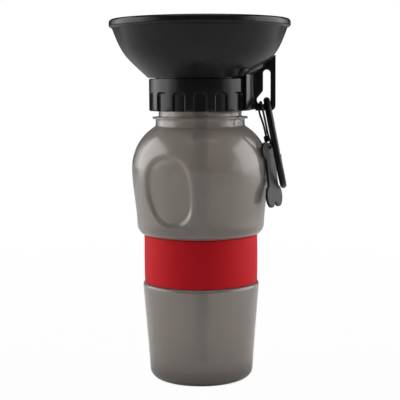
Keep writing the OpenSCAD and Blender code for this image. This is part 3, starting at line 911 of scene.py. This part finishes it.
# %% Enamel and steel
def black_enamel(tree, place):
    ripple = noise(tree, place, 2.2, 3)
    worn = noise(tree, place, 0.6, 4).between(0.68, 0.8)
    return add_node(tree, "ShaderNodeBsdfPrincipled", {}, {
        "Base Color": worn.blend((0.006, 0.006, 0.007), (0.016, 0.016, 0.017)),
        "Roughness": 0.36 + worn * 0.2, "Specular IOR Level": 0.22,
        "Coat Weight": 0.12 - worn * 0.1, "Coat Roughness": 0.15,
        "Normal": bump(tree, ripple, 0.01),
    })


def bright_steel(tree, place):
    streak = noise(tree, place, 0.5, 4)
    return add_node(tree, "ShaderNodeBsdfPrincipled", {}, {
        "Base Color": streak.blend((0.58, 0.58, 0.57), (0.70, 0.70, 0.69)), "Metallic": 1.0,
        "Roughness": 0.22 + streak * 0.18,
    })


finish("black_enamel", [carabiner, nodes["carabiner_gate"], nodes["cord_ferrule"]], black_enamel)
finish("bright_steel", [nodes["gate_pin"], nodes["gate_spring"]], bright_steel)

# %% [markdown]
# ## Cord and tag
# The cord is a smooth waxed braid. The tag is two-coloured: its two faces are grey and its
# rim is black, so the direction of the surface tells which is which. The face's direction is
# fixed to the object, and so is the mask.

# %% Cord and tag
def black_cord(tree, place):
    braid = noise(tree, place, 0.5, 2)
    return add_node(tree, "ShaderNodeBsdfPrincipled", {}, {
        "Base Color": braid.blend((0.008, 0.008, 0.008), (0.022, 0.022, 0.023)),
        "Roughness": 0.28 + braid * 0.2, "Normal": bump(tree, braid, 0.06),
    })


tag_normal = tag_turned @ Vector((0, 0, 1))


def grey_rubber(tree, place):
    facing = add_node(tree, "ShaderNodeVectorMath", {"operation": "DOT_PRODUCT"}, {
        0: add_node(tree, "ShaderNodeNewGeometry", {}, {}, 1), 1: tuple(tag_normal)}, 1)
    face = facing.math("ABSOLUTE", facing).between(0.93, 0.99)
    grain = noise(tree, place, 0.35, 3)
    cloud = noise(tree, place, 6, 3)
    grey = cloud.blend((0.062, 0.062, 0.068), (0.082, 0.082, 0.088))
    return add_node(tree, "ShaderNodeBsdfPrincipled", {}, {
        "Base Color": face.blend((0.006, 0.006, 0.006), grey), "Roughness": 0.5 + grain * 0.2,
        "Specular IOR Level": 0.35, "Normal": bump(tree, grain, 0.03),
    })


finish("black_cord", [tag_cord], black_cord)
finish("grey_rubber", [bone_tag], grey_rubber)

# %% [markdown]
# ## Floor, light and background
# The bottle stands on a white floor that fades into a white background. Two large soft
# panels stand at its sides, a little behind it, and nothing bright is in front, so black
# plastic keeps a dark middle with grey flanks. The background is white only for the camera and
# for rays that come through the bottle. Other rays find a dim room with bright sides.

# %% Floor
FLOOR_R, FLOOR_SIDES = 3.0, 64
FLOOR_SHARE = 0.97


def floor_finish(tree, place):
    away = add_node(tree, "ShaderNodeVectorMath", {"operation": "LENGTH"}, {0: place}, 1).between(0.12, 0.7)
    seen = add_node(tree, "ShaderNodeLightPath", {}, {}, 0)
    white = add_node(tree, "ShaderNodeEmission", {}, {"Color": (1, 1, 1), "Strength": 1.0})
    lit = add_node(tree, "ShaderNodeBsdfDiffuse", {}, {"Color": (0.86, 0.86, 0.86)})
    share = seen * (FLOOR_SHARE + away * (1 - FLOOR_SHARE))
    return add_node(tree, "ShaderNodeMixShader", {}, {0: share, 1: lit, 2: white})


floor_turns = [2 * math.pi * k / FLOOR_SIDES for k in range(FLOOR_SIDES)]
floor_line = [(FLOOR_R * math.cos(turn), FLOOR_R * math.sin(turn), 0) for turn in floor_turns]
ground = bpy.data.objects.new("floor", bpy.data.meshes.new("floor"))
ground.data.from_pydata(floor_line, [], [tuple(range(FLOOR_SIDES))])
bpy.context.scene.collection.objects.link(ground)
finish("pale_floor", [ground], floor_finish)

# %% Light
MIDDLE = Vector((0, 0, 0.11))


def soft_panel(name, place, size, watts):
    """A square lamp that faces the middle of the bottle."""
    lamp = bpy.data.objects.new(name, bpy.data.lights.new(name, "AREA"))
    lamp.data.shape = "RECTANGLE"
    lamp.data.size, lamp.data.size_y = size
    lamp.data.energy = watts
    lamp.location = place
    lamp.rotation_euler = (Vector(place) - MIDDLE).to_track_quat("Z", "Y").to_euler()
    bpy.context.scene.collection.objects.link(lamp)


PANEL_AT, PANEL_SIZE, PANEL_WATTS = (0.85, 0.12, 0.3), (0.9, 1.1), 5
soft_panel("left_panel", (-PANEL_AT[0], *PANEL_AT[1:]), PANEL_SIZE, PANEL_WATTS)
soft_panel("right_panel", PANEL_AT, PANEL_SIZE, PANEL_WATTS)
soft_panel("top_panel", (0, 0, 1.1), (0.7, 0.7), 2)

FRONT_LIGHT, SIDE_LIGHT, SIDE_EDGE = 0.05, 1.15, (0.62, 0.84)
world = bpy.data.worlds.new("studio")
bpy.context.scene.world = world
world.use_nodes = True
sky = world.node_tree
sky.nodes.clear()
direct = add_node(sky, "ShaderNodeLightPath", {}, {}, 0)
through = add_node(sky, "ShaderNodeLightPath", {}, {}, 6)
shown = direct.math("MAXIMUM", direct, through)
way = add_node(sky, "ShaderNodeTexCoord", {}, {}, 0)
across = add_node(sky, "ShaderNodeVectorMath", {"operation": "ABSOLUTE"}, {0: way})
side = add_node(sky, "ShaderNodeVectorMath", {"operation": "DOT_PRODUCT"}, {0: across, 1: (0.99, 0, 0)}, 1)
behind = add_node(sky, "ShaderNodeVectorMath", {"operation": "DOT_PRODUCT"}, {0: way, 1: (0, 0.139, 0)}, 1)
room = FRONT_LIGHT + (side + behind).between(*SIDE_EDGE) * SIDE_LIGHT
strength = shown * 1.0 + (1 - shown) * room
backdrop = add_node(sky, "ShaderNodeBackground", {}, {"Color": (1, 1, 1), "Strength": strength})
sky.links.new(backdrop.socket, sky.nodes.new("ShaderNodeOutputWorld").inputs["Surface"])
bpy.context.scene.view_settings.view_transform = "Standard"
